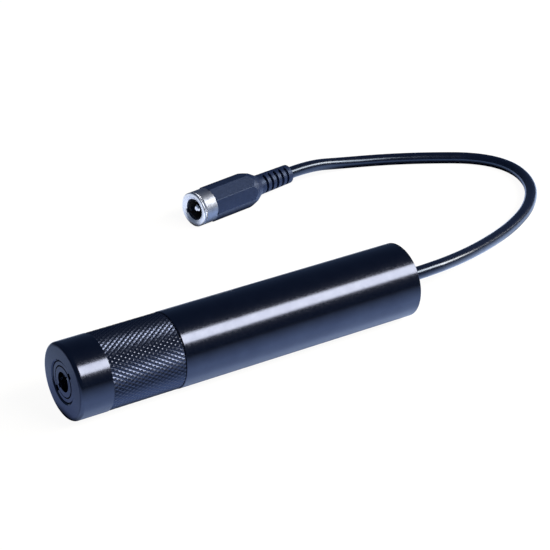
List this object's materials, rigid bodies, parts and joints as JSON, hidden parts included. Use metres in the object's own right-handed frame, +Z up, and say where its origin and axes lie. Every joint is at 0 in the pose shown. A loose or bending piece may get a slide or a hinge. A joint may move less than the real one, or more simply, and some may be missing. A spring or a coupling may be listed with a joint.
{
  "type": "laser pointer",
  "caption": "Metal laser module with a knurled focus head, a lead from its rear end and an inline socket for a barrel plug.",
  "frame": {"origin": "on the ground, under the middle of the tube's length, with the tube lying on its side", "axes": "+X along the tube from the beam end to the cord end, +Y towards the side where the cord lies, +Z up; the beam leaves towards -X"},
  "size_m": [0.1852, 0.0971, 0.02],
  "materials": {
    "black_anodised_aluminium": "satin black anodise over turned aluminium",
    "optical_glass": "polished, coated",
    "seal_rubber": "matte black",
    "bearing_bronze": "turned",
    "spring_steel": "drawn wire",
    "turned_brass": "turned",
    "gold_plate": "plated",
    "board_laminate": "solder mask",
    "component_black": "moulded",
    "component_case": "moulded",
    "sleeve_film": "film",
    "red_insulation": "extruded",
    "black_insulation": "extruded",
    "cord_jacket": "smooth, half gloss",
    "nickel_plate": "bright nickel",
    "socket_plastic": "moulded",
    "moulded_grip": "matte, moulded"
  },
  "bodies": {
    "barrel": {"barrel": "black_anodised_aluminium", "rear_cap": "black_anodised_aluminium", "cord_grommet": "seal_rubber", "focus_spring": "spring_steel", "diode_housing": "turned_brass", "diode_clamp_ring": "turned_brass", "cord_crimp": "turned_brass", "laser_diode": "gold_plate", "diode_leads": "gold_plate", "driver_board": "board_laminate", "driver_regulator": "component_black", "driver_inductor": "component_black", "driver_resistors": "component_black", "driver_capacitor": "component_case", "power_trimmer": "component_case", "insulating_sleeve": "sleeve_film", "supply_lead_positive": "red_insulation", "supply_lead_negative": "black_insulation", "power_cord": "cord_jacket", "jack_shell": "nickel_plate", "jack_pin": "nickel_plate", "jack_sleeve_contact": "nickel_plate", "jack_insulator": "socket_plastic", "jack_overmould": "moulded_grip"},
    "focus_thrust": {"thrust_washer": "bearing_bronze"},
    "focus_head": {"focus_head": "black_anodised_aluminium", "lens_retaining_ring": "black_anodised_aluminium", "lens_cell": "black_anodised_aluminium", "collimating_lens": "optical_glass", "lens_lock_ring": "black_anodised_aluminium", "lens_o_ring": "seal_rubber"}
  },
  "joints": [
    {"name": "focus_travel", "type": "slide", "parent": "barrel", "child": "focus_thrust", "axis": [-1, 0, 0], "range_m": [-0.00013, 0.00125], "deforming": ["focus_spring"]},
    {"name": "focus_turn", "type": "hinge", "parent": "focus_thrust", "child": "focus_head", "pos_m": [-0.03015, 0, 0.01], "axis": [-1, 0, 0], "range_deg": [-90, 900]}
  ],
  "couplings": [
    {"joint": "focus_travel", "follows": "focus_turn", "m_per_rad": 0.000079577}
  ]
}
